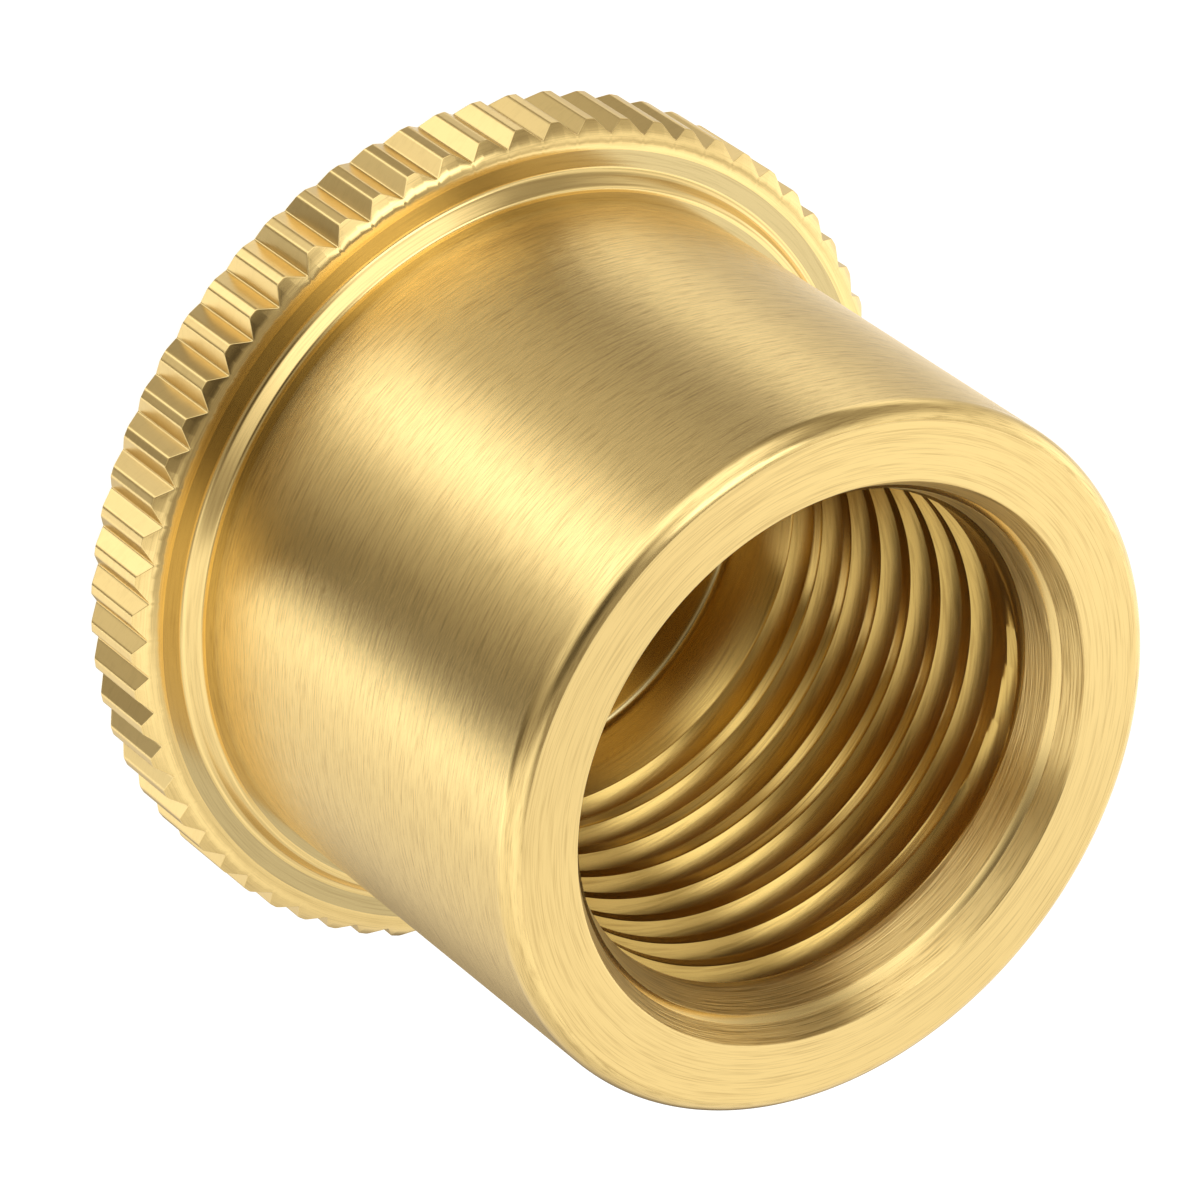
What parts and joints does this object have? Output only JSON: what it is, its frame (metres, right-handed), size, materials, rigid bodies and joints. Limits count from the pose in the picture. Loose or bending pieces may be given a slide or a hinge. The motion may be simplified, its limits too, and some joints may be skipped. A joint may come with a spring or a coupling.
{
  "type": "escutcheon nut",
  "caption": "Turned brass escutcheon nut: plain barrel with an internal pipe thread on a flange with a straight-knurled rim and a stem hole.",
  "frame": {"origin": "centre of the flange's back face, on the nut's axis", "axes": "+Z along the nut's axis, from the flange's back face to the barrel's open end; one knurl groove faces -Y"},
  "size_m": [0.0324, 0.0324, 0.0234],
  "materials": {
    "brass": "turned, bright, unlacquered"
  },
  "bodies": {
    "root": {"escutcheon_nut": "brass"}
  },
  "joints": []
}
